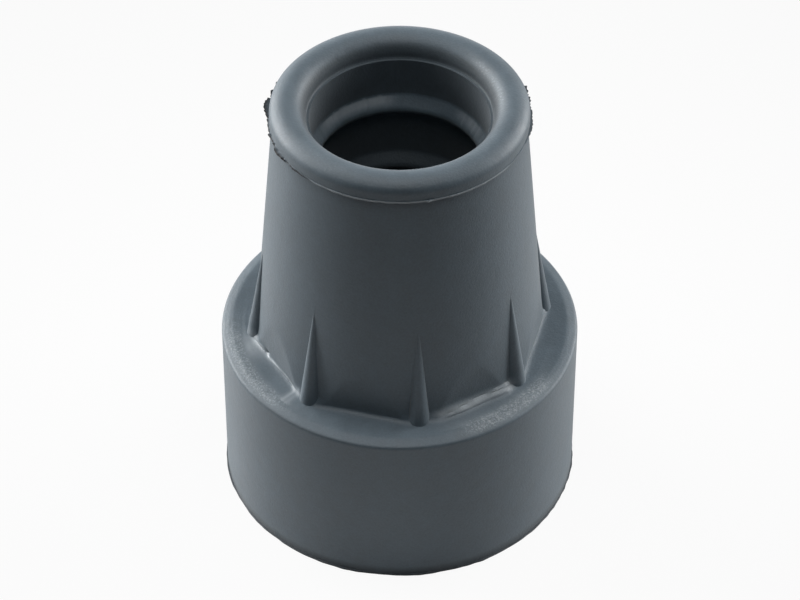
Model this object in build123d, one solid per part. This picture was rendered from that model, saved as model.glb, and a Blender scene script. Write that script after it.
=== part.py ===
from build123d import *
import os
from math import asin, atan2, cos, degrees, hypot, radians, sin

# Rubber tip for a walking cane, moulded in one piece.
#
# A heavy round foot stands on the ground. A tapering sleeve rises from it to a crowned rim,
# and holds the cane's tube in a blind socket with three gripping rings. Eight slender
# half-cone ribs stand on the foot's shoulder and lean on the sleeve. A thin fin of flash is
# left round the sole and round the foot of the rim, where the halves of the mould meet.
#
# Sizes are in millimetres. The origin is the middle of the sole, and +Z points up the cane.

# Foot
SOLE_R = 20.14             # side wall at the sole
SHOULDER_R = 20.04         # side wall at the shoulder
SHOULDER_Z = 20.6          # flat top of the shoulder
SHOULDER_EDGE = 1.0        # rounding of its outer edge
SOLE_FIN_R = 20.33         # flash round the sole
SOLE_FIN_THICK = 0.25

# Sleeve
SLEEVE_FOOT_R = 16.15      # at the shoulder
SLEEVE_TOP_R = 13.57
SLEEVE_TOP_Z = 49.9
FLAT_APOTHEM = 15.6        # flats between the ribs at the sleeve's foot, from the axis
FOOT_FLARE = 0.6           # sloping skirt where the sleeve meets the shoulder

# Rim
RIM_FIN_R = 14.05          # flash at the foot of the rim
RIM_FIN_THICK = 0.2
RIM_SIDE_R = 13.85         # side of the rim above the flash
RIM_ROUND = 1.1            # rounding between that side and the crown
CROWN_R = 2.07             # section of the crown, a half round
CROWN_MID_R = 12.1
CROWN_MID_Z = 50.2
LEDGE_R = 9.9              # fine ledge under the rounded mouth
LEDGE_Z = 50.0

# Socket
SOCKET_R = 9.65
SOCKET_FLOOR_Z = 13.0
SOCKET_FLOOR_ROUND = 1.0
RING_COUNT = 3
RING_PITCH = 8.0
RING_CREST_R = 8.8
RING_TOP_Z = 45.3          # where the first ring leaves the socket's wall
RING_SLOPE = 1.3           # height of a ring's sloping top
RING_LAND = 0.6            # height of its crest
RING_RETURN = 0.6          # height of the face under the crest

# Ribs
RIB_COUNT = 8
RIB_FIRST_DEG = 7.5        # first rib's turn from -Y towards +X
RIB_FOOT_R = 1.2           # cone's radius at the shoulder
RIB_APEX_Z = 34.0
RIB_SINK = 0.12            # how deep the cone's axis lies inside the sleeve

# Round grooves in the sole
GROOVE_COUNT = 3
GROOVE_FIRST_R = 5.5       # middle of the innermost groove
GROOVE_PITCH = 4.5
GROOVE_WIDTH = 1.6
GROOVE_DEPTH = 1.2


def sleeve_radius(z: float) -> float:
    """Outer radius of the sleeve at a height."""
    taper = (SLEEVE_TOP_R - SLEEVE_FOOT_R) / (SLEEVE_TOP_Z - SHOULDER_Z)
    return SLEEVE_FOOT_R + taper * (z - SHOULDER_Z)


def on_circle(mid: tuple, radius: float, tilt: float) -> tuple:
    """Point of a circle in the section, at a tilt in radians from straight up towards +X."""
    return (mid[0] + radius * sin(tilt), mid[1] + radius * cos(tilt))


def body() -> Part:
    """Foot, sleeve and rim as one solid of revolution, with no socket yet."""
    crown_mid = (CROWN_MID_R, CROWN_MID_Z)
    # The side's rounding meets the crown where the two circles share a tangent.
    touch_tilt = asin((RIM_SIDE_R - RIM_ROUND - CROWN_MID_R) / (CROWN_R - RIM_ROUND))
    round_mid = on_circle(crown_mid, CROWN_R - RIM_ROUND, touch_tilt)
    side_top = (RIM_SIDE_R, round_mid[1])
    round_half = on_circle(round_mid, RIM_ROUND, (touch_tilt + radians(90)) / 2)
    touch = on_circle(crown_mid, CROWN_R, touch_tilt)
    crest = on_circle(crown_mid, CROWN_R, 0)

    edge_mid = (SHOULDER_R - SHOULDER_EDGE, SHOULDER_Z - SHOULDER_EDGE)
    fin_top = SLEEVE_TOP_Z + RIM_FIN_THICK
    section = Polyline(
        (0, 0),
        (SOLE_FIN_R, 0),
        (SOLE_FIN_R, SOLE_FIN_THICK),
        (SOLE_R, SOLE_FIN_THICK),
        (SHOULDER_R, edge_mid[1]),
    )
    section += ThreePointArc(
        (SHOULDER_R, edge_mid[1]),
        on_circle(edge_mid, SHOULDER_EDGE, radians(45)),
        (edge_mid[0], SHOULDER_Z),
    )
    section += Polyline(
        (edge_mid[0], SHOULDER_Z),
        (SLEEVE_FOOT_R + FOOT_FLARE, SHOULDER_Z),
        (SLEEVE_FOOT_R, SHOULDER_Z + FOOT_FLARE),
        (SLEEVE_TOP_R, SLEEVE_TOP_Z),
        (RIM_FIN_R, SLEEVE_TOP_Z),
        (RIM_FIN_R, fin_top),
        (RIM_SIDE_R, fin_top),
        side_top,
    )
    section += ThreePointArc(side_top, round_half, touch)
    section += ThreePointArc(touch, on_circle(crown_mid, CROWN_R, touch_tilt / 2), crest)
    section += Polyline(crest, (0, crest[1]), (0, 0))
    return revolve(Plane.XZ * make_face(section), Axis.Z)


def octagon(apothem: float) -> Sketch:
    """Octagon with a corner at each rib."""
    return Rot(0, 0, RIB_FIRST_DEG - 90) * RegularPolygon(apothem, RIB_COUNT, major_radius=False)


def foot_flats() -> Part:
    """What the flats take off the sleeve between the ribs. They fade out higher up it."""
    taper = (SLEEVE_FOOT_R - SLEEVE_TOP_R) / (SLEEVE_TOP_Z - SHOULDER_Z)
    height = (SLEEVE_FOOT_R - FLAT_APOTHEM) / taper + FOOT_FLARE
    around = Cylinder(SHOULDER_R, height, align=(Align.CENTER, Align.CENTER, Align.MIN))
    kept = extrude(octagon(FLAT_APOTHEM), height)
    kept += extrude(octagon(FLAT_APOTHEM + FOOT_FLARE), FOOT_FLARE, taper=45)
    return Pos(0, 0, SHOULDER_Z) * (around - kept)


def rib() -> Part:
    """Cone for a rib on the -Y side; its inner half is lost in the sleeve."""
    foot_r = sleeve_radius(SHOULDER_Z) - RIB_SINK
    apex_r = sleeve_radius(RIB_APEX_Z) - RIB_SINK
    rise = RIB_APEX_Z - SHOULDER_Z
    length = hypot(rise, foot_r - apex_r)
    lean = degrees(atan2(foot_r - apex_r, rise))
    # The cone goes on a little way below the shoulder, so that its tilted end is buried.
    buried = 2 * RIB_FOOT_R * sin(radians(lean)) + 0.2
    wide_r = RIB_FOOT_R * (length + buried) / length
    cone = Cone(wide_r, 0, length + buried, align=(Align.CENTER, Align.CENTER, Align.MIN))
    cone = Pos(0, 0, -buried) * cone
    return Pos(0, -foot_r, SHOULDER_Z) * Rot(-lean, 0, 0) * cone


def socket() -> Part:
    """The space inside: rounded mouth, fine ledge, and a blind bore that the rings narrow."""
    crown_mid = (CROWN_MID_R, CROWN_MID_Z)
    crest = on_circle(crown_mid, CROWN_R, 0)
    mouth = (CROWN_MID_R - CROWN_R, CROWN_MID_Z)
    section = Polyline((0, crest[1] + 1), (CROWN_MID_R, crest[1] + 1), crest)
    section += ThreePointArc(crest, on_circle(crown_mid, CROWN_R, radians(-45)), mouth)
    wall = [mouth, (LEDGE_R, LEDGE_Z), (SOCKET_R, LEDGE_Z)]
    for index in range(RING_COUNT):
        top = RING_TOP_Z - index * RING_PITCH
        wall += [
            (SOCKET_R, top),
            (RING_CREST_R, top - RING_SLOPE),
            (RING_CREST_R, top - RING_SLOPE - RING_LAND),
            (SOCKET_R, top - RING_SLOPE - RING_LAND - RING_RETURN),
        ]
    floor_mid = (SOCKET_R - SOCKET_FLOOR_ROUND, SOCKET_FLOOR_Z + SOCKET_FLOOR_ROUND)
    wall.append((SOCKET_R, floor_mid[1]))
    section += Polyline(*wall)
    section += ThreePointArc(
        wall[-1],
        on_circle(floor_mid, SOCKET_FLOOR_ROUND, radians(135)),
        (floor_mid[0], SOCKET_FLOOR_Z),
    )
    section += Polyline((floor_mid[0], SOCKET_FLOOR_Z), (0, SOCKET_FLOOR_Z), (0, crest[1] + 1))
    return revolve(Plane.XZ * make_face(section), Axis.Z)


def groove(middle_r: float) -> Part:
    """One round groove in the sole."""
    outer = Cylinder(middle_r + GROOVE_WIDTH / 2, 2 * GROOVE_DEPTH)
    inner = Cylinder(middle_r - GROOVE_WIDTH / 2, 2 * GROOVE_DEPTH)
    return outer - inner


def cane_tip() -> Part:
    """The whole moulding."""
    tip = body() - foot_flats()
    tip += [Rot(0, 0, RIB_FIRST_DEG + index * 360 / RIB_COUNT) * rib() for index in range(RIB_COUNT)]
    tip -= [groove(GROOVE_FIRST_R + index * GROOVE_PITCH) for index in range(GROOVE_COUNT)]
    tip -= socket()
    tip.label = "cane_tip"
    return tip


os.makedirs("parts", exist_ok=True)
export_step(cane_tip(), "parts/cane_tip.step")
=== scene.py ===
"""A grey rubber cane tip, dressed for a close look.

The tip is one rubber moulding: a heavy round foot, a tapering sleeve with eight slender ribs
and a crowned rim round a ringed socket. Its section is turned on the tip's axis, the ribs are
joined on, and the skin is then pushed about: flats and folded flash at the sleeve's
foot, torn flash round the rim, trimmed flash round the sole.

The tip's classes hold their sizes in millimetres and the room's in metres. Heights are above
the sole. A turn is an angle about the tip's axis, in degrees from -Y towards +X.
"""

from __future__ import annotations

import logging
import math
from collections.abc import Iterator
from contextlib import contextmanager
from dataclasses import dataclass, field
from enum import Enum
from itertools import pairwise

import bpy
import numpy as np
from mathutils import Matrix, Vector

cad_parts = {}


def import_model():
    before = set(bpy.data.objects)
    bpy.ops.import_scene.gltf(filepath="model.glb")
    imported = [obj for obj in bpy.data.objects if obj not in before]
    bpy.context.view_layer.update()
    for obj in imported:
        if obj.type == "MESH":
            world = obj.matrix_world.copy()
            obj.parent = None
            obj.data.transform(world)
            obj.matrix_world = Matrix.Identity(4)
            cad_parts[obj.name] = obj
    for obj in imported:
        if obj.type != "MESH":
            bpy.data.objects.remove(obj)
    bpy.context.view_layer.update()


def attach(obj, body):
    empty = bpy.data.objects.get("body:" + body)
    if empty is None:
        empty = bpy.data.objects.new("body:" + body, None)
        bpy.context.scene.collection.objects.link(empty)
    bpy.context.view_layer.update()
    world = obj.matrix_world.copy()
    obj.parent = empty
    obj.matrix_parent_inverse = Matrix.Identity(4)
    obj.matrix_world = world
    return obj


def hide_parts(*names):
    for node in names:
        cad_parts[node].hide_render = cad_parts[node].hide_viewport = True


MM = 0.001
LOG = logging.getLogger("cane_tip")

Point = tuple[float, float]
Turns = tuple[float, float]
Colour = tuple[float, float, float]
Array = np.ndarray


class Mark(Enum):
    """What the skin is marked with, vertex by vertex, for the finish to read."""

    PALE_AND_HIGHLIGHT = "pale"    # stretched, bloomed flash, and painted highlights
    DUST_AND_HIGHLIGHT = "dust_and_highlight"    # chalky dust, and a painted highlight on the crown
    DARK_EDGES_AND_SHADE = "torn"    # painted shade on the rim's flash; darker sole flash and shoulder line
    SOCKET_SHADE = "socket_shade"    # painted shade in the socket and on the roll of its mouth


# ---------------------------------------------------------------- modelling helpers


def select_alone(piece: bpy.types.Object) -> None:
    """Makes one piece the only selected one and the active one.

    Args:
        piece: The mesh object.
    """
    bpy.ops.object.select_all(action="DESELECT")
    piece.select_set(True)
    bpy.context.view_layer.objects.active = piece


@contextmanager
def edit_mode(piece: bpy.types.Object) -> Iterator[None]:
    """Opens one piece alone in edit mode.

    Args:
        piece: The mesh object to edit.
    """
    select_alone(piece)
    bpy.ops.object.mode_set(mode="EDIT")
    yield
    bpy.ops.object.mode_set(mode="OBJECT")


def apply_place(piece: bpy.types.Object) -> None:
    """Moves a piece's place and turn into its mesh.

    Args:
        piece: The mesh object.
    """
    select_alone(piece)
    bpy.ops.object.transform_apply(location=True, rotation=True, scale=True)


def smooth_step(value: Array, low: float, high: float) -> Array:
    """Rises smoothly from 0 at low to 1 at high.

    Args:
        value: The values to look at.
        low: Where the rise starts.
        high: Where it ends; below low, the step falls instead.

    Returns:
        The step's height at each value.
    """
    share = np.clip((value - low) / (high - low), 0.0, 1.0)
    return share * share * (3.0 - 2.0 * share)


def hump(value: Array, middle: Array | float, half_width: float) -> Array:
    """Bell of height 1 round a middle.

    Args:
        value: The values to look at.
        middle: Where the bell stands.
        half_width: How far from its middle it has fallen to about a third.

    Returns:
        The bell's height at each value.
    """
    return np.exp(-(((value - middle) / half_width) ** 2))


def band(value: Array, low: float, high: float, soft: float) -> Array:
    """A plateau of height 1 from low to high, with soft ends inside it.

    Args:
        value: The values to look at.
        low: Where the plateau's foot starts.
        high: Where its other foot ends.
        soft: Length of each end's slope.

    Returns:
        The plateau's height at each value.
    """
    return smooth_step(value, low, low + soft) * smooth_step(value, high, high - soft)


@dataclass(frozen=True)
class Waver:
    """Unevenness that goes round a circle and meets itself.

    A sum of sines with seeded heights and phases, from -1 to 1 or so.
    """

    seed: int
    slowest: int
    fastest: int

    def at(self, turn: Array) -> Array:
        """Height at each turn.

        Args:
            turn: Angles in degrees.

        Returns:
            The unevenness there.
        """
        draw = np.random.default_rng(self.seed)
        total = np.zeros_like(turn)
        counts = np.arange(self.slowest, self.fastest + 1)
        heights = draw.uniform(0.3, 1.0, len(counts))
        phases = draw.uniform(0.0, 2.0 * math.pi, len(counts))
        for count, height, phase in zip(counts, heights, phases):
            total += height * np.sin(np.radians(turn) * count + phase)
        return total / math.sqrt(float((heights**2).sum()))


@dataclass
class Outline:
    """Half section of a turned shape, from the axis out and round to the axis again."""

    points: list[Point] = field(default_factory=lambda: [(0.0, 0.0)])

    def run(self, radius: float, height: float, step: float = 1.5) -> None:
        """Goes straight to a point.

        Args:
            radius: The point's distance from the axis.
            height: Its height.
            step: Longest edge on the way.
        """
        start = self.points[-1]
        count = max(1, math.ceil(math.hypot(radius - start[0], height - start[1]) / step))
        for index in range(1, count + 1):
            share = index / count
            self.points.append(
                (start[0] + (radius - start[0]) * share, start[1] + (height - start[1]) * share)
            )

    def soft_run(self, corners: list[Point], rounding: float, step: float = 1.5) -> None:
        """Goes along corners and rounds each but the last.

        Args:
            corners: The corners to pass, the last one being the end.
            rounding: Length cut off on each side of a corner.
            step: Longest edge on a straight stretch.
        """
        path = [self.points[-1], *corners]
        for before, corner, after in zip(path, path[1:], path[2:]):
            into = self._back_from(corner, before, rounding)
            out = self._back_from(corner, after, rounding)
            self.run(*into, step)
            for share in (0.25, 0.5, 0.75, 1.0):
                near, far = (1 - share) ** 2, share**2
                middle = 1 - near - far
                self.points.append(
                    (
                        near * into[0] + middle * corner[0] + far * out[0],
                        near * into[1] + middle * corner[1] + far * out[1],
                    )
                )
        self.run(*path[-1], step)

    @staticmethod
    def _back_from(corner: Point, other: Point, distance: float) -> Point:
        """Point at a distance from a corner towards another, and at most halfway.

        Args:
            corner: Where to start.
            other: Where to head.
            distance: How far to go.

        Returns:
            The point.
        """
        length = math.hypot(other[0] - corner[0], other[1] - corner[1])
        share = min(distance / length, 0.5)
        return (
            corner[0] + (other[0] - corner[0]) * share,
            corner[1] + (other[1] - corner[1]) * share,
        )

    def arc(self, middle: Point, radius: float, start: float, end: float, count: int) -> None:
        """Follows a circle.

        Args:
            middle: The circle's centre.
            radius: Its radius.
            start: Where to start, in degrees from straight up towards +radius.
            end: Where to end.
            count: Number of edges.
        """
        for index in range(1, count + 1):
            tilt = math.radians(start + (end - start) * index / count)
            self.points.append(
                (middle[0] + radius * math.sin(tilt), middle[1] + radius * math.cos(tilt))
            )


def lathe(name: str, outline: Outline, segments: int) -> bpy.types.Object:
    """Turns an outline about the Z axis into a closed skin.

    Args:
        name: The new piece's name.
        outline: The half section, starting and ending on the axis.
        segments: How many steps make the full turn.

    Returns:
        The new piece.
    """
    start = outline.points[0]
    bpy.ops.object.select_all(action="DESELECT")
    bpy.ops.mesh.primitive_plane_add(size=MM, location=(start[0] * MM, 0.0, start[1] * MM))
    piece = bpy.context.object
    piece.name = name
    apply_place(piece)
    with edit_mode(piece):
        bpy.ops.mesh.select_all(action="SELECT")
        bpy.ops.mesh.merge(type="CENTER")
        for here, there in pairwise(outline.points):
            step = ((there[0] - here[0]) * MM, 0.0, (there[1] - here[1]) * MM)
            bpy.ops.mesh.extrude_region_move(TRANSFORM_OT_translate={"value": step})
        bpy.ops.mesh.select_all(action="SELECT")
        bpy.ops.mesh.spin(steps=segments, angle=2 * math.pi, center=(0, 0, 0), axis=(0, 0, 1))
        bpy.ops.mesh.select_all(action="SELECT")
        bpy.ops.mesh.remove_doubles(threshold=0.002 * MM)
        bpy.ops.mesh.normals_make_consistent(inside=False)
    return piece


class Skin:
    """A mesh's vertices in round coordinates, to be pushed about and put back."""

    def __init__(self, piece: bpy.types.Object) -> None:
        """Reads the vertices.

        Args:
            piece: The mesh object, at the origin.
        """
        self.piece = piece
        flat = np.empty(len(piece.data.vertices) * 3)
        piece.data.vertices.foreach_get("co", flat)
        x, y, z = flat.reshape(-1, 3).T / MM
        self.radius = np.hypot(x, y)
        self.turn = np.degrees(np.arctan2(x, -y))
        self.height = z
        self.marks = {mark: np.zeros_like(z) for mark in Mark}

    def put_back(self) -> None:
        """Writes the vertices and the marks into the mesh."""
        angle = np.radians(self.turn)
        x, y = self.radius * np.sin(angle), -self.radius * np.cos(angle)
        flat = (np.column_stack((x, y, self.height)) * MM).ravel()
        self.piece.data.vertices.foreach_set("co", flat)
        for mark, amount in self.marks.items():
            layer = self.piece.data.attributes.new(mark.value, "FLOAT", "POINT")
            layer.data.foreach_set("value", np.clip(amount, 0.0, 1.0).astype(np.float32))
        self.piece.data.update()


# ---------------------------------------------------------------- materials


@dataclass(frozen=True)
class Value:
    """A shader socket that Python expressions build on, each adding its Math node."""

    nodes: "Nodes"
    socket: bpy.types.NodeSocket | None

    def _math(self, operation: str, *terms: Value | float) -> Value:
        """Adds a Math node.

        Args:
            operation: The node's operation.
            terms: What goes into it.

        Returns:
            The node's result.
        """
        return self.nodes.add("ShaderNodeMath", {"operation": operation}, dict(enumerate(terms)))

    def __add__(self, other: Value | float) -> Value:
        """Sum."""
        return self._math("ADD", self, other)

    def __radd__(self, other: float) -> Value:
        """Sum, with the number in front."""
        return self._math("ADD", other, self)

    def __sub__(self, other: Value | float) -> Value:
        """Difference."""
        return self._math("SUBTRACT", self, other)

    def __rsub__(self, other: float) -> Value:
        """Difference, with the number in front."""
        return self._math("SUBTRACT", other, self)

    def __mul__(self, other: Value | float) -> Value:
        """Product."""
        return self._math("MULTIPLY", self, other)

    def __rmul__(self, other: float) -> Value:
        """Product, with the number in front."""
        return self._math("MULTIPLY", other, self)

    def clamp(self) -> Value:
        """The value held between 0 and 1."""
        return self.nodes.add(
            "ShaderNodeMath", {"operation": "ADD", "use_clamp": True}, {0: self, 1: 0.0}
        )

    def over(self, low: float, high: float) -> Value:
        """Share of the way from low to high, held between 0 and 1.

        Args:
            low: Where the share is 0.
            high: Where it is 1.

        Returns:
            The share.
        """
        return ((self - low) * (1.0 / (high - low))).clamp()


class Nodes:
    """Builds the nodes of one material or world."""

    def __init__(self, owner: bpy.types.Material | bpy.types.World) -> None:
        """Empties the owner's node tree.

        Args:
            owner: The material or world.
        """
        owner.use_nodes = True
        self.tree = owner.node_tree
        self.tree.nodes.clear()

    def add(
        self,
        kind: str,
        settings: dict[str, object] | None = None,
        sockets: dict[str | int, object] | None = None,
        result: str | int = 0,
    ) -> Value:
        """Adds any node.

        Args:
            kind: The node's type.
            settings: Its settings, which are set first.
            sockets: The values or links of its sockets.
            result: The output to hand back.

        Returns:
            The chosen output, or an empty value for a node that has none.
        """
        node = self.tree.nodes.new(kind)
        for key, setting in (settings or {}).items():
            setattr(node, key, setting)
        for key, value in (sockets or {}).items():
            if isinstance(value, Value):
                self.tree.links.new(value.socket, node.inputs[key])
            else:
                node.inputs[key].default_value = value
        return Value(self, node.outputs[result] if len(node.outputs) else None)

    def noise(self, where: Value, scale: float, detail: float = 3.0, rough: float = 0.5) -> Value:
        """Cloudy noise of about 0.5 on average.

        Args:
            where: The place to look it up at.
            scale: How many clouds there are to the metre.
            detail: How many finer layers it has.
            rough: How strong those are.

        Returns:
            The noise.
        """
        sockets = {"Vector": where, "Scale": scale, "Detail": detail, "Roughness": rough}
        return self.add("ShaderNodeTexNoise", {}, sockets, "Fac")

    def colour_mix(self, share: Value, first: Value | Colour, second: Value | Colour) -> Value:
        """Goes from one colour to another.

        Args:
            share: How far to go.
            first: The colour at 0.
            second: The colour at 1.

        Returns:
            The colour.
        """
        settings = {"data_type": "RGBA", "clamp_factor": True}
        ends = [end if isinstance(end, Value) else (*end, 1.0) for end in (first, second)]
        return self.add("ShaderNodeMix", settings, {0: share, 6: ends[0], 7: ends[1]}, 2)

    def mark(self, mark: Mark) -> Value:
        """Reads one of the skin's marks.

        Args:
            mark: The mark.

        Returns:
            Its amount.
        """
        return self.add("ShaderNodeAttribute", {"attribute_name": mark.value}, {}, "Fac")


@dataclass(frozen=True)
class GreyRubber:
    """Moulded blue-grey rubber: a fine grain, faint clouds, dust, pale flash, painted highlights,
    and painted shade on the rim's flash and in the socket.
    """

    base: Colour = (0.080, 0.113, 0.139)
    # The pale colour paints bloomed flash and highlights.
    pale: Colour = (0.38, 0.42, 0.45)
    # The dust colour also paints a highlight on the crown.
    dust_and_highlight: Colour = (0.46, 0.50, 0.52)
    # Painted shade: the near-black colour laid on the rim's flash, also darkening the sole's flash
    # and a line below the shoulder's edge.
    torn: Colour = (0.006, 0.006, 0.007)
    # Painted shade: the near-black colour laid in the socket and on its mouth's roll.
    inside: Colour = (0.009, 0.016, 0.021)
    roughness: float = 0.56
    gloss: float = 0.8
    sheen: float = 0.22
    sheen_roughness: float = 0.45

    def build(self) -> bpy.types.Material:
        """Makes the material.

        Returns:
            The new material.
        """
        material = bpy.data.materials.new("grey rubber")
        nodes = Nodes(material)
        place = nodes.add("ShaderNodeTexCoord", {}, {}, "Object")
        pale, dust_and_highlight, torn, socket_shade = (nodes.mark(mark) for mark in Mark)

        clouds = nodes.noise(place, 160.0, 4.0, 0.55)
        blotch = nodes.noise(place, 620.0, 3.0, 0.6)
        grain = nodes.noise(place, 4200.0, 2.0, 0.6)
        specks = nodes.noise(place, 4600.0, 3.0, 0.7)

        shade = (clouds - 0.5) * 0.30 + (blotch - 0.5) * 0.34 + (grain - 0.5) * 0.40
        light = tuple(channel * 1.5 for channel in self.base)
        dark = tuple(channel * 0.5 for channel in self.base)
        colour = nodes.colour_mix(shade + 0.5, dark, light)
        # Pale bloomed flash, and painted highlights on a fold, on the rim's flash and on the first
        # ring.
        colour = nodes.colour_mix(pale * (0.55 + 0.5 * blotch), colour, self.pale)
        # Dust lies in specks, and thickest where the skin is marked for it; the same pale colour
        # paints a speckled highlight on the crown.
        lone = specks.over(0.70, 0.78) * 0.2
        haze = dust_and_highlight * (0.06 + 0.16 * blotch)
        settled = (specks + dust_and_highlight * 0.22).over(0.66, 0.86) * dust_and_highlight
        colour = nodes.colour_mix((lone + settled * 0.5 + haze).clamp(), colour, self.dust_and_highlight)
        # Painted shade on the rim's flash; the sole's flash and a line below the shoulder's edge
        # are darkened too.
        colour = nodes.colour_mix(torn, colour, self.torn)
        # Painted shade in the socket and on its mouth's roll.
        colour = nodes.colour_mix(socket_shade, colour, self.inside)

        rough = self.roughness + (clouds - 0.5) * 0.16 + (blotch - 0.5) * 0.14
        rough = rough + settled * 0.25 + torn * 0.4 + socket_shade * 0.15 - pale * 0.10
        height = grain * 0.5 + blotch * 0.7 + specks * 0.25
        bump = nodes.add(
            "ShaderNodeBump", {}, {"Strength": 0.5, "Distance": 0.0001, "Height": height}
        )
        shader = nodes.add(
            "ShaderNodeBsdfPrincipled",
            {},
            {
                "Base Color": colour,
                "Roughness": rough.clamp(),
                "Normal": bump,
                "Specular IOR Level": self.gloss,
                "Sheen Weight": self.sheen,
                "Sheen Roughness": self.sheen_roughness,
            },
        )
        nodes.add("ShaderNodeOutputMaterial", {}, {"Surface": shader})
        return material


# ---------------------------------------------------------------- the tip


@dataclass
class Foot:
    """Heavy round foot with a grooved sole and a flat shoulder."""

    sole_radius: float = 20.14
    shoulder_radius: float = 20.04
    shoulder_height: float = 20.6
    shoulder_rounding: float = 1.0
    shoulder_fall: float = 0.42
    fin_radius: float = 20.3
    fin_thickness: float = 0.24
    longest_trim: float = 0.17
    groove_radii: tuple[float, ...] = (5.5, 10.0, 14.5)
    groove_width: float = 1.6
    groove_depth: float = 1.2

    def trace(self, outline: Outline) -> None:
        """Traces the sole, the side and the shoulder's edge.

        Args:
            outline: The outline so far, at the middle of the sole.
        """
        half = self.groove_width / 2
        for middle in self.groove_radii:
            outline.run(middle - half, 0.0, 2.0)
            outline.run(middle - half, self.groove_depth)
            outline.run(middle + half, self.groove_depth, 2.0)
            outline.run(middle + half, 0.0)
        outline.run(self.fin_radius - 0.5, 0.0)
        outline.run(self.fin_radius, 0.0, 0.2)
        outline.run(self.fin_radius - 0.03, self.fin_thickness, 0.1)
        outline.run(self.sole_radius, self.fin_thickness + 0.03, 0.2)
        side_top = self.shoulder_height - self.shoulder_rounding
        outline.run(self.shoulder_radius, side_top, 1.1)
        corners = [
            (self.shoulder_radius, self.shoulder_height - self.shoulder_fall),
            (self.shoulder_radius - self.shoulder_rounding - 0.15, self.shoulder_height),
            (self.shoulder_radius - self.shoulder_rounding - 0.6, self.shoulder_height),
        ]
        outline.soft_run(corners, 0.34, 0.2)


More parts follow.
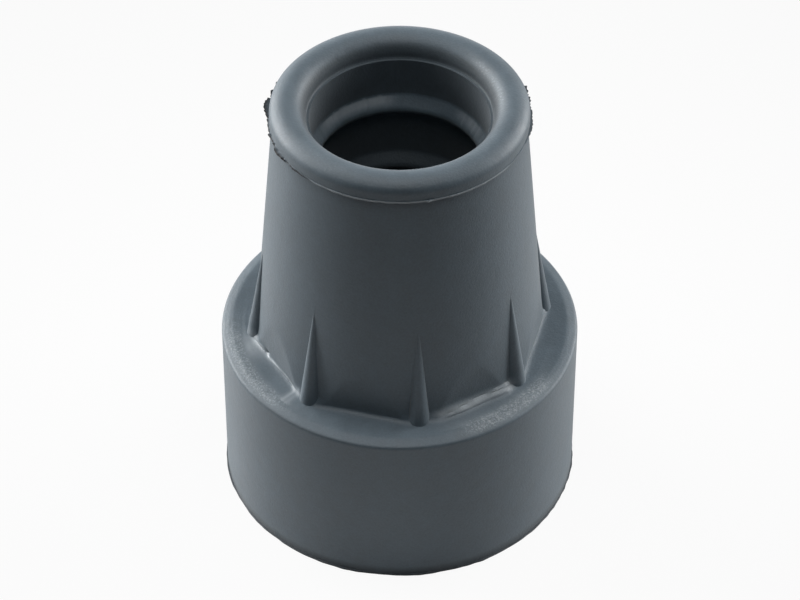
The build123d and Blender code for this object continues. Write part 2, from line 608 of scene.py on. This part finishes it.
@dataclass
class Sleeve:
    """Tapering sleeve, with flats and folded flash where the mould's parts met its foot."""

    foot_radius: float = 16.15
    foot_height: float = 20.6
    top_radius: float = 13.57
    top_height: float = 49.9
    least_radius: float = 13.0
    skirt: float = 0.6
    shoulder_reach: float = 2.2
    apothem: float = 15.6
    flat_count: int = 8
    flat_fade: float = 7.5
    corner_turn: float = 7.5
    # Where the skirt is lost: from one turn to another, and by what share.
    lost_skirt: tuple[tuple[float, float, float], ...] = (
        (-84.0, -36.0, 0.8),
        (51.0, 99.0, 0.8),
        (-39.0, 9.0, 0.5),
    )
    fold_fade: Point = (16.7, 18.4)
    fold_turns: Turns = (9.0, 51.0)
    blister_turn: float = -75.0
    pinch_turn: float = -68.5
    thread_turns: Turns = (-70.0, -43.0)
    line_turns: Turns = (66.0, 101.0)
    line_lift: float = 0.45

    def radius_at(self, height: float) -> float:
        """The sleeve's radius at a height.

        Args:
            height: The height.

        Returns:
            The radius, ribs and flats left out.
        """
        taper = (self.top_radius - self.foot_radius) / (self.top_height - self.foot_height)
        return self.foot_radius + taper * (height - self.foot_height)

    def trace(self, outline: Outline) -> None:
        """Traces the shoulder's flat, the skirt and the sleeve's side.

        Args:
            outline: The outline so far, at the shoulder's rounded edge.
        """
        skirt_top = self.foot_height + self.skirt
        outline.run(self.foot_radius + self.shoulder_reach, self.foot_height, 0.4)
        corners = [
            (self.foot_radius + self.skirt, self.foot_height),
            (self.foot_radius, skirt_top),
            (self.radius_at(skirt_top + 1.5), skirt_top + 1.5),
        ]
        outline.soft_run(corners, 0.4, 0.17)
        outline.run(self.radius_at(skirt_top + 6.0), skirt_top + 6.0, 0.5)
        outline.run(self.top_radius, self.top_height, 1.4)

    def flatten(self, skin: Skin) -> None:
        """Presses the flats into the sleeve's foot.

        Args:
            skin: The tip's skin, ribs not yet joined.
        """
        pitch = 360.0 / self.flat_count
        off_middle = (skin.turn - self.corner_turn) % pitch - pitch / 2
        flat = self.apothem / np.cos(np.radians(off_middle))
        rise = skin.height - self.foot_height
        # The skirt is lost where the mould shut well, on both sides of the front.
        skirt = np.full_like(rise, self.skirt)
        for first, last, lost in self.lost_skirt:
            skirt = skirt * (1.0 - lost * band(skin.turn, first, last, 5.0))
        spread = np.clip(skirt - rise, 0.0, self.skirt)
        on_sleeve = (skin.radius > self.least_radius) & (rise > -0.1)
        pressed = np.minimum(skin.radius, flat + spread + 0.012 * rise)
        # On the shoulder the rings close up behind the skirt's edge.
        skirt_edge = self.foot_radius + self.skirt
        shoulder_edge = self.foot_radius + self.shoulder_reach
        edge = np.minimum(skirt_edge, flat + skirt)
        share_out = (skin.radius - skirt_edge) / (shoulder_edge - skirt_edge)
        behind = edge + share_out * (shoulder_edge - edge)
        behind = np.where(share_out < 1.0, behind, skin.radius)
        pressed = np.where(share_out > 0.0, behind, pressed)
        share = 1.0 - smooth_step(rise, self.flat_fade - 3.0, self.flat_fade)
        moved = skin.radius + (pressed - skin.radius) * share
        skin.radius = np.where(on_sleeve, moved, skin.radius)

    def fold(self, skin: Skin) -> None:
        """Raises the soft strip round the foot, with its folds and creases.

        Args:
            skin: The tip's skin, ribs not yet joined.
        """
        near = (skin.radius > self.least_radius) & (skin.height > self.foot_height - 0.1)
        near = near * (1.0 - smooth_step(skin.radius, *self.fold_fade))
        turn = skin.turn
        lift = skin.height - self.foot_height
        slow = self.swelling(turn)
        # A low swelling rolls off the wall and dies out on the shoulder.
        skin.radius = skin.radius + near * hump(lift, 0.25, 0.45) * (0.04 + 0.04 * slow)
        # The great fold between the third and fourth ribs, with its forked crease.
        fold = band(turn, *self.fold_turns, 12.0) * near
        skin.radius = skin.radius + fold * hump(lift, 0.50, 0.52) * (0.46 + 0.08 * slow)
        crease = np.interp(turn, (13.0, 33.0, 49.0), (0.25, 0.85, 0.40))
        branch = np.interp(turn, (33.0, 50.0), (0.85, 1.05))
        cut = band(turn, 13.0, 50.0, 6.0) * hump(lift, crease, 0.10) * 0.17
        cut = np.maximum(cut, band(turn, 32.0, 50.0, 5.0) * hump(lift, branch, 0.09) * 0.14)
        skin.radius = skin.radius - cut * near
        # The blister under the first rib, with a thread of flash running off to the second.
        blister = hump(turn, self.blister_turn, 6.0) * near
        skin.radius = skin.radius + blister * hump(lift, 0.3, 0.4) * 0.12
        thread = band(turn, *self.thread_turns, 3.0) * near
        skin.radius = skin.radius + thread * hump(lift, self.thread_path(turn), 0.08) * 0.12
        pinch = hump(turn, self.pinch_turn, 1.1) * near
        skin.radius = skin.radius - pinch * hump(lift, 0.4, 0.3) * 0.30
        # A thin line of flash beyond the fourth rib.
        line = band(turn, *self.line_turns, 5.0) * near
        skin.radius = skin.radius + line * hump(lift, self.line_lift, 0.10) * 0.04

    @staticmethod
    def swelling(turn: Array) -> Array:
        """Slow unevenness of the strip round the foot.

        Args:
            turn: Angles in degrees.

        Returns:
            The unevenness, from -1 to 1 or so.
        """
        return Waver(11, 4, 18).at(turn)

    @staticmethod
    def thread_path(turn: Array) -> Array:
        """Height above the shoulder of the kinked thread between the first two ribs.

        Args:
            turn: Angles in degrees.

        Returns:
            The thread's height at each.
        """
        return np.interp(turn, (-68.5, -61.0, -51.0, -45.0), (0.14, 0.28, 0.46, 0.06))


@dataclass
class Rim:
    """Crowned rim with torn flash at its foot and a rounded mouth."""

    fin_radius: float = 14.0
    fin_height: float = 49.9
    fin_thickness: float = 0.2
    longest_tear: float = 0.85
    torn_turns: Turns = (-112.0, -46.0)
    teeth_turns: Turns = (70.0, 124.0)
    far_left_turns: Turns = (-136.0, -84.0)
    far_right_turns: Turns = (92.0, 130.0)
    nib_turn: float = 12.4
    side_radius: float = 13.85
    rounding: float = 1.1
    crown_radius: float = 2.07
    crown_middle: Point = (12.1, 50.2)
    ledge_radius: float = 9.9
    ledge_height: float = 50.0

    def trace(self, outline: Outline) -> None:
        """Traces the flash, the rim's side, the crown and the mouth.

        Args:
            outline: The outline so far, at the top of the sleeve.
        """
        fin_top = self.fin_height + self.fin_thickness
        outline.run(self.side_radius, self.fin_height, 0.15)
        outline.run(self.fin_radius, self.fin_height + 0.03, 0.06)
        outline.run(self.fin_radius, fin_top - 0.03, 0.1)
        outline.run(self.side_radius, fin_top, 0.06)
        small = self.crown_radius - self.rounding
        sine = (self.side_radius - self.rounding - self.crown_middle[0]) / small
        tilt = math.degrees(math.asin(sine))
        middle = (
            self.side_radius - self.rounding,
            self.crown_middle[1] + small * math.cos(math.radians(tilt)),
        )
        outline.run(self.side_radius, middle[1], 0.3)
        outline.arc(middle, self.rounding, 90.0, tilt, 8)
        outline.arc(self.crown_middle, self.crown_radius, tilt, -90.0, 22)
        outline.run(self.ledge_radius, self.ledge_height, 0.1)

    def tear(self, skin: Skin) -> None:
        """Makes the flash ragged, and torn where the mould pulled it.

        Args:
            skin: The tip's skin.
        """
        turn, lift = skin.turn, skin.height - self.fin_height
        on_fin = (skin.radius > self.side_radius + 0.02) & (lift > -0.05) & (lift < 0.3)
        coarse = Waver(21, 9, 60).at(turn)
        fine = Waver(22, 60, 190).at(turn)
        torn = band(turn, *self.torn_turns, 12.0)
        teeth = band(turn, *self.teeth_turns, 8.0)
        quiet = 0.07 + 0.025 * coarse + 0.01 * fine
        far_left = band(turn, *self.far_left_turns, 9.0)
        far_right = band(turn, *self.far_right_turns, 9.0)
        reach = quiet + torn * (0.13 + 0.10 * coarse + 0.06 * fine)
        reach = reach + far_left * (0.26 + 0.10 * coarse + 0.035 * fine)
        reach = reach + teeth * (0.12 + 0.08 * coarse + 0.05 * np.sign(fine))
        reach = reach + far_right * (0.13 + 0.07 * coarse + 0.03 * np.sign(fine))
        reach = reach + hump(turn, self.nib_turn, 0.9) * 0.14
        reach = np.clip(reach, 0.01, self.longest_tear)
        skin.radius = np.where(on_fin, self.side_radius + reach, skin.radius)
        curl = torn * (0.07 * fine - 0.05) + (far_left + far_right) * reach * 0.45
        skin.height = skin.height + np.where(on_fin, curl, 0.0)

    def is_flash(self, skin: Skin) -> Array:
        """Finds the flash at the rim's foot.

        Args:
            skin: The tip's skin.

        Returns:
            Whether each vertex is on it.
        """
        middle = self.fin_height + self.fin_thickness / 2
        return (skin.radius > self.side_radius + 0.015) & (np.abs(skin.height - middle) < 0.9)


@dataclass
class Socket:
    """Blind socket for the cane's tube, narrowed by gripping rings."""

    radius: float = 9.65
    floor_height: float = 13.0
    floor_rounding: float = 1.0
    ring_count: int = 3
    ring_pitch: float = 8.0
    crest_radius: float = 8.8
    first_top: float = 45.3
    slope: float = 1.3
    land: float = 0.6
    under: float = 0.6
    mouth_radius: float = 10.02
    mouth_height: float = 50.15
    left_pucker: Turns = (-180.0, -122.0)
    right_pucker: Turns = (108.0, 140.0)
    seam_turn: float = -178.0

    def trace(self, outline: Outline) -> None:
        """Traces the ledge, the wall, the rings and the floor.

        Args:
            outline: The outline so far, at the ledge under the mouth.
        """
        outline.run(self.radius, outline.points[-1][1], 0.3)
        for index in range(self.ring_count):
            top = self.first_top - index * self.ring_pitch
            crest = top - self.slope
            corners = [
                (self.radius, top),
                (self.crest_radius, crest),
                (self.crest_radius, crest - self.land),
                (self.radius, crest - self.land - self.under),
                (self.radius, crest - self.land - self.under - 0.6),
            ]
            outline.soft_run(corners, 0.28, 0.9)
        low = self.floor_height + self.floor_rounding
        outline.run(self.radius, low, 1.6)
        outline.arc((self.radius - self.floor_rounding, low), self.floor_rounding, 90.0, 180.0, 5)
        outline.run(0.0, self.floor_height, 1.8)

    def wrinkle(self, skin: Skin) -> None:
        """Puckers the first ring's top where the core was pulled out past it.

        Args:
            skin: The tip's skin.
        """
        inside = skin.radius < self.radius + 0.02
        near = hump(skin.height, self.first_top - 0.7, 0.8) * inside
        far = hump(skin.height, self.first_top - self.ring_pitch - 0.7, 0.7) * inside
        folds = Waver(31, 24, 90).at(skin.turn)
        waves = Waver(32, 3, 14).at(skin.turn)
        left = band(skin.turn, *self.left_pucker, 12.0)
        right = band(skin.turn, *self.right_pucker, 10.0)
        strength = 0.004 + 0.035 * left + 0.03 * right
        skin.radius = skin.radius - near * (folds * strength + 0.03 * waves)
        skin.height = skin.height + near * (folds * strength * 1.6 + 0.05 * waves)
        skin.height = skin.height + far * 0.06 * waves
        seam = hump(skin.turn, self.seam_turn, 0.5) * band(skin.height, 45.0, 50.0, 0.8) * inside
        skin.radius = skin.radius - seam * 0.03

    def is_inside(self, skin: Skin) -> Array:
        """Finds the socket's inside, up to its mouth.

        Args:
            skin: The tip's skin.

        Returns:
            Whether each vertex is on it.
        """
        above_sole = skin.height > self.floor_height - 1.0
        return (skin.radius < self.mouth_radius) & above_sole & (skin.height < self.mouth_height)


@dataclass
class Ribs:
    """Slender half cones that stand on the shoulder and lean on the sleeve."""

    count: int = 8
    first_turn: float = 7.5
    foot_radius: float = 1.2
    apex_height: float = 34.0
    sink: float = 0.12
    buried: float = 0.5
    nose_radius: float = 0.10
    sides: int = 40
    stations: int = 14

    def model(self, sleeve: Sleeve) -> list[bpy.types.Object]:
        """Models one rib and copies it round the sleeve.

        Args:
            sleeve: The sleeve that the ribs lean on.

        Returns:
            The ribs.
        """
        low = Vector((0.0, -(sleeve.radius_at(sleeve.foot_height) - self.sink), sleeve.foot_height))
        high = Vector((0.0, -(sleeve.radius_at(self.apex_height) - self.sink), self.apex_height))
        axis = (high - low).normalized()
        length = (high - low).length
        full_length = length + self.buried
        bpy.ops.object.select_all(action="DESELECT")
        bpy.ops.mesh.primitive_circle_add(
            vertices=self.sides, radius=MM, fill_type="NGON", location=(0.0, 0.0, 0.0)
        )
        rib = bpy.context.object
        rib.name = "rib"
        wide = self.foot_radius * full_length / length
        last = wide
        with edit_mode(rib):
            bpy.ops.mesh.select_all(action="SELECT")
            bpy.ops.transform.resize(value=(wide, wide, wide))
            for index in range(1, self.stations + 1):
                share = index / self.stations
                # The cone ends in a small round nose, not in a point.
                nose = self.nose_radius * math.sqrt(max(1.0 - share, 0.02))
                width = max(wide * (1.0 - share), nose)
                step = (0.0, 0.0, full_length / self.stations * MM)
                bpy.ops.mesh.extrude_region_move(TRANSFORM_OT_translate={"value": step})
                bpy.ops.transform.resize(value=(width / last, width / last, width / last))
                last = width
            bpy.ops.mesh.select_all(action="SELECT")
            bpy.ops.mesh.normals_make_consistent(inside=False)
        tilt = Vector((0.0, 0.0, 1.0)).rotation_difference(axis).to_matrix().to_4x4()
        foot = Matrix.Translation((low - axis * self.buried) * MM)
        rib.data.transform(foot @ tilt)
        ribs = [rib]
        for _ in range(1, self.count):
            copy = rib.copy()
            copy.data = rib.data.copy()
            bpy.context.collection.objects.link(copy)
            ribs.append(copy)
        for index, one in enumerate(ribs):
            turn = math.radians(self.first_turn + index * 360.0 / self.count)
            one.data.transform(Matrix.Rotation(turn, 4, "Z"))
        return ribs


@dataclass
class CaneTip:
    """The whole moulding."""

    foot: Foot = field(default_factory=Foot)
    sleeve: Sleeve = field(default_factory=Sleeve)
    rim: Rim = field(default_factory=Rim)
    socket: Socket = field(default_factory=Socket)
    ribs: Ribs = field(default_factory=Ribs)
    segments: int = 352
    smooth_angle: float = 38.0

    def build(self, finish: GreyRubber) -> bpy.types.Object:
        """Models the tip and dresses it.

        Args:
            finish: The rubber's finish.

        Returns:
            The tip.
        """
        outline = Outline()
        for part in (self.foot, self.sleeve, self.rim, self.socket):
            part.trace(outline)
        tip = lathe("rubber_cane_tip", outline, self.segments)
        skin = Skin(tip)
        self.sleeve.flatten(skin)
        self.sleeve.fold(skin)
        self.rim.tear(skin)
        self.socket.wrinkle(skin)
        self._wear(skin)
        skin.put_back()
        self._join_ribs(tip)
        self._mark(tip)
        tip.data.materials.clear()
        tip.data.materials.append(finish.build())
        self._smooth(tip)
        return tip

    def _wear(self, skin: Skin) -> None:
        """Makes the sole's flash uneven and the big faces less than perfect.

        Args:
            skin: The tip's skin, ribs not yet joined.
        """
        turn = skin.turn
        side = self.foot.sole_radius
        on_fin = (skin.height < self.foot.fin_thickness + 0.01) & (skin.radius > side + 0.02)
        cut = 0.09 + 0.05 * Waver(41, 3, 20).at(turn) + 0.02 * Waver(42, 30, 90).at(turn)
        trimmed = side + np.clip(cut, 0.0, self.foot.longest_trim)
        skin.radius = np.where(on_fin, trimmed, skin.radius)
        shoulder = (skin.radius > 17.6) & (skin.radius < 19.2) & (skin.height > 20.5)
        sag = 0.02 * Waver(43, 2, 9).at(turn)
        skin.height = skin.height + np.where(shoulder, np.minimum(sag, 0.0), 0.0)

    def _join_ribs(self, tip: bpy.types.Object) -> None:
        """Joins the ribs to the tip as one skin.

        Args:
            tip: The tip.
        """
        ribs = self.ribs.model(self.sleeve)
        bpy.ops.object.select_all(action="DESELECT")
        for rib in ribs:
            rib.select_set(True)
        bpy.context.view_layer.objects.active = ribs[0]
        bpy.ops.object.join()
        joined = bpy.context.object
        union = tip.modifiers.new("ribs", "BOOLEAN")
        union.operation = "UNION"
        union.solver = "MANIFOLD"
        union.object = joined
        select_alone(tip)
        bpy.ops.object.modifier_apply(modifier=union.name)
        bpy.data.objects.remove(joined, do_unlink=True)
        for mark in Mark:
            layer = tip.data.attributes.get(mark.value)
            if layer:
                tip.data.attributes.remove(layer)

    def _mark(self, tip: bpy.types.Object) -> None:
        """Marks the skin for its finish.

        Args:
            tip: The tip, ribs joined.
        """
        skin = Skin(tip)
        skin.marks = {
            Mark.PALE_AND_HIGHLIGHT: self._pale_and_highlight_at(skin),
            Mark.DUST_AND_HIGHLIGHT: self._dust_and_highlight_at(skin),
            Mark.DARK_EDGES_AND_SHADE: self._dark_edges_and_shade_at(skin),
            Mark.SOCKET_SHADE: self._socket_shade_at(skin),
        }
        skin.put_back()

    def _pale_and_highlight_at(self, skin: Skin) -> Array:
        """Finds the stretched flash of the sleeve's foot, and painted highlights on a fold, on the
        rim's flash and on the first ring.

        Args:
            skin: The tip's skin, ribs joined.

        Returns:
            How much of the pale colour each vertex takes.
        """
        sleeve, turn, radius = self.sleeve, skin.turn, skin.radius
        lift = skin.height - sleeve.foot_height
        near = (radius < sleeve.fold_fade[1]) & (radius > sleeve.least_radius) & (lift > -0.1)
        first, last = sleeve.fold_turns
        great = band(turn, first + 1.0, last + 1.0, 7.0) * hump(lift, 0.62, 0.42)
        great = great * (0.95 + 0.2 * sleeve.swelling(turn))
        thread = band(turn, *sleeve.thread_turns, 2.0)
        thread = thread * hump(lift, sleeve.thread_path(turn), 0.10)
        blister = hump(turn, sleeve.blister_turn, 7.0) * band(radius, 14.8, 18.3, 1.0)
        blister = blister * (lift < 0.6) * 0.7
        line = band(turn, *sleeve.line_turns, 5.0) * hump(lift, sleeve.line_lift, 0.12) * 0.25
        # Painted highlight: a bright spot on the fold beside a rib.
        painted_fold_highlight = hump(turn, -43.2, 1.3) * hump(lift, 0.3, 0.5) * 0.7
        pale = np.maximum.reduce([great, thread, blister, line, painted_fold_highlight]) * near
        # Painted highlight: the rim's flash lit from above, across the front.
        painted_rim_highlight = self.rim.is_flash(skin) * band(turn, -46.0, 60.0, 12.0) * 0.7
        # Painted highlight on the first ring's puckered top, at the back left and right.
        painted_ring_highlight = band(turn, -181.0, -112.0, 14.0) * 0.7 + band(turn, 108.0, 142.0, 10.0) * 0.4
        on_ring = self.socket.is_inside(skin) & (radius < self.socket.radius - 0.05)
        painted_ring_highlight = painted_ring_highlight * hump(skin.height, 44.9, 0.5) * on_ring
        return np.maximum.reduce([pale, painted_rim_highlight, painted_ring_highlight])

    def _dust_and_highlight_at(self, skin: Skin) -> Array:
        """Finds the dust on the shoulder's edge and the crown's front, and a painted highlight on
        the crown's inner back right.

        Args:
            skin: The tip's skin, ribs joined.

        Returns:
            How much of the dust colour each vertex takes.
        """
        turn, radius, height = skin.turn, skin.radius, skin.height
        edge = band(radius, 17.2, 20.3, 1.1) * smooth_step(height, 19.9, 20.4)
        left = band(turn, -100.0, -30.0, 20.0)
        right = band(turn, 12.0, 70.0, 16.0)
        shoulder = edge * np.maximum(0.9 * left, right)
        on_crown = height > 50.7
        # Painted highlight: a speckled glint on the crown's inner roll at the back right.
        painted_crown_highlight = band(turn, 76.0, 142.0, 18.0) * hump(radius, 10.7, 0.55) * on_crown * 0.8
        worn = band(turn, -80.0, -12.0, 22.0) * band(radius, 11.6, 13.9, 0.8) * on_crown * 0.4
        return np.maximum.reduce([shoulder, painted_crown_highlight, worn])

    def _dark_edges_and_shade_at(self, skin: Skin) -> Array:
        """Finds where the rim's flash is painted dark as shade, the darker sole flash, and a dark
        line below the shoulder's edge.

        Args:
            skin: The tip's skin, ribs joined.

        Returns:
            How dark each vertex is painted.
        """
        turn, radius, height = skin.turn, skin.radius, skin.height
        # Painted shade: the rim's flash is darkened on the left, and less on the right.
        torn = band(turn, -140.0, -40.0, 8.0) + 0.6 * band(turn, 72.0, 132.0, 8.0)
        low = height < self.foot.fin_thickness + 0.05
        sole_fin = low & (radius > self.foot.sole_radius - 0.04)
        # A dark line painted along the shoulder's front corner.
        edge_line = hump(height, 20.14, 0.09) * (radius > 19.8) * band(turn, -62.0, -6.0, 18.0) * 0.45
        return np.maximum.reduce([self.rim.is_flash(skin) * torn, sole_fin * 0.6, edge_line])

    def _socket_shade_at(self, skin: Skin) -> Array:
        """Finds where shade is painted: the socket's inside, darker lower down, and the roll of its
        mouth.

        Args:
            skin: The tip's skin, ribs joined.

        Returns:
            How much painted shade each vertex takes.
        """
        radius, height = skin.radius, skin.height
        # Painted shade: the socket's wall darkens further down, and the mouth's roll darkens too.
        deeper = smooth_step(height, 43.9, 41.0)
        wall = self.socket.is_inside(skin) * (0.05 + 0.40 * (height > 45.5) + 0.62 * deeper)
        roll = (height > 50.1) * (radius < 11.0) * smooth_step(radius, 10.85, 10.25) * 0.62
        return np.maximum(wall, roll)

    def _smooth(self, tip: bpy.types.Object) -> None:
        """Shades the skin smooth but for its sharp edges.

        Args:
            tip: The tip.
        """
        select_alone(tip)
        bpy.ops.object.shade_smooth_by_angle(angle=math.radians(self.smooth_angle))


# ---------------------------------------------------------------- the room


@dataclass(frozen=True)
class Lamp:
    """A soft square lamp aimed at the tip."""

    name: str
    turn: float
    tilt: float
    distance: float
    width: float
    height: float
    power: float

    def hang(self, aim: Vector) -> None:
        """Hangs the lamp.

        Args:
            aim: Where it points.
        """
        light = bpy.data.lights.new(self.name, "AREA")
        light.shape = "RECTANGLE"
        light.size, light.size_y = self.width, self.height
        light.energy = self.power
        lamp = bpy.data.objects.new(self.name, light)
        turn, tilt = math.radians(self.turn), math.radians(self.tilt)
        away = Vector(
            (math.cos(tilt) * math.sin(turn), -math.cos(tilt) * math.cos(turn), math.sin(tilt))
        )
        lamp.location = aim + away * self.distance
        lamp.rotation_euler = away.to_track_quat("Z", "Y").to_euler()
        bpy.context.collection.objects.link(lamp)


@dataclass
class Room:
    """Pale floor, soft lamps, white surroundings and the camera."""

    floor_size: float = 3.0
    floor_near: Colour = (0.60, 0.60, 0.60)
    floor_far: Colour = (0.14, 0.14, 0.14)
    surround: float = 0.02
    lamps: tuple[Lamp, ...] = (
        Lamp("left panel", -122.0, 15.0, 0.55, 0.45, 0.46, 6.2),
        Lamp("right panel", 117.0, 14.0, 0.60, 0.42, 0.44, 4.8),
        Lamp("top panel", 0.0, 82.0, 0.70, 0.50, 0.50, 2.1),
    )
    camera_distance: float = 0.33835
    camera_tilt: float = 42.873
    aim_height: float = 0.0234967
    lens: float = 135.92
    shift: float = 0.0004

    def set_up(self) -> bpy.types.Object:
        """Builds the room.

        Returns:
            The floor.
        """
        aim = Vector((0.0, 0.0, self.aim_height))
        for lamp in self.lamps:
            lamp.hang(aim)
        self._set_camera(aim)
        self._set_world()
        bpy.context.scene.view_settings.view_transform = "Standard"
        return self._lay_floor()

    def _set_camera(self, aim: Vector) -> None:
        """Places the camera.

        Args:
            aim: Where it points.
        """
        camera = bpy.data.objects.new("camera", bpy.data.cameras.new("camera"))
        tilt = math.radians(self.camera_tilt)
        away = Vector((0.0, -math.cos(tilt), math.sin(tilt)))
        camera.location = aim + away * self.camera_distance
        camera.rotation_euler = (math.pi / 2 - tilt, 0.0, 0.0)
        camera.data.lens = self.lens
        camera.data.sensor_width = 36.0
        camera.data.shift_x = self.shift
        bpy.context.collection.objects.link(camera)
        bpy.context.scene.camera = camera

    def _set_world(self) -> None:
        """Gives soft grey light, and white where the surroundings are seen."""
        world = bpy.data.worlds.new("surroundings")
        nodes = Nodes(world)
        direct = nodes.add("ShaderNodeLightPath", {}, {}, "Is Camera Ray")
        through = nodes.add("ShaderNodeLightPath", {}, {}, "Is Transmission Ray")
        strength = self.surround + (direct + through).clamp() * (1.0 - self.surround)
        sockets = {"Color": (1.0, 1.0, 1.0, 1.0), "Strength": strength}
        light = nodes.add("ShaderNodeBackground", {}, sockets)
        nodes.add("ShaderNodeOutputWorld", {}, {"Surface": light})
        bpy.context.scene.world = world

    def _lay_floor(self) -> bpy.types.Object:
        """Lays the floor.

        Returns:
            The floor.
        """
        bpy.ops.object.select_all(action="DESELECT")
        bpy.ops.mesh.primitive_plane_add(size=self.floor_size, location=(0.0, 0.0, 0.0))
        floor = bpy.context.object
        floor.name = "floor"
        material = bpy.data.materials.new("pale floor")
        nodes = Nodes(material)
        path = nodes.add("ShaderNodeLightPath", {}, {}, "Is Camera Ray")
        place = nodes.add("ShaderNodeTexCoord", {}, {}, "Object")
        settings = {"operation": "LENGTH"}
        away = nodes.add("ShaderNodeVectorMath", settings, {0: place}, "Value")
        white = nodes.colour_mix(away.over(0.04, 0.12), self.floor_near, self.floor_far)
        paper = nodes.add("ShaderNodeBsdfDiffuse", {}, {"Color": white})
        glow = nodes.add("ShaderNodeEmission", {}, {"Strength": 1.0})
        seen = nodes.add("ShaderNodeMixShader", {}, {0: path * 0.93, 1: paper, 2: glow})
        nodes.add("ShaderNodeOutputMaterial", {}, {"Surface": seen})
        floor.data.materials.append(material)
        return floor


# ---------------------------------------------------------------- main


def main() -> None:
    """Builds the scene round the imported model."""
    logging.basicConfig(level=logging.INFO, format="%(name)s: %(message)s")
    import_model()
    floor = Room().set_up()
    LOG.info("room ready")
    tip = CaneTip().build(GreyRubber())
    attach(tip, "root")
    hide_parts("cane_tip")
    triangles = sum(len(face.vertices) - 2 for face in tip.data.polygons)
    LOG.info("%s: %d triangles", tip.name, triangles)


if __name__ == "__main__":
    main()
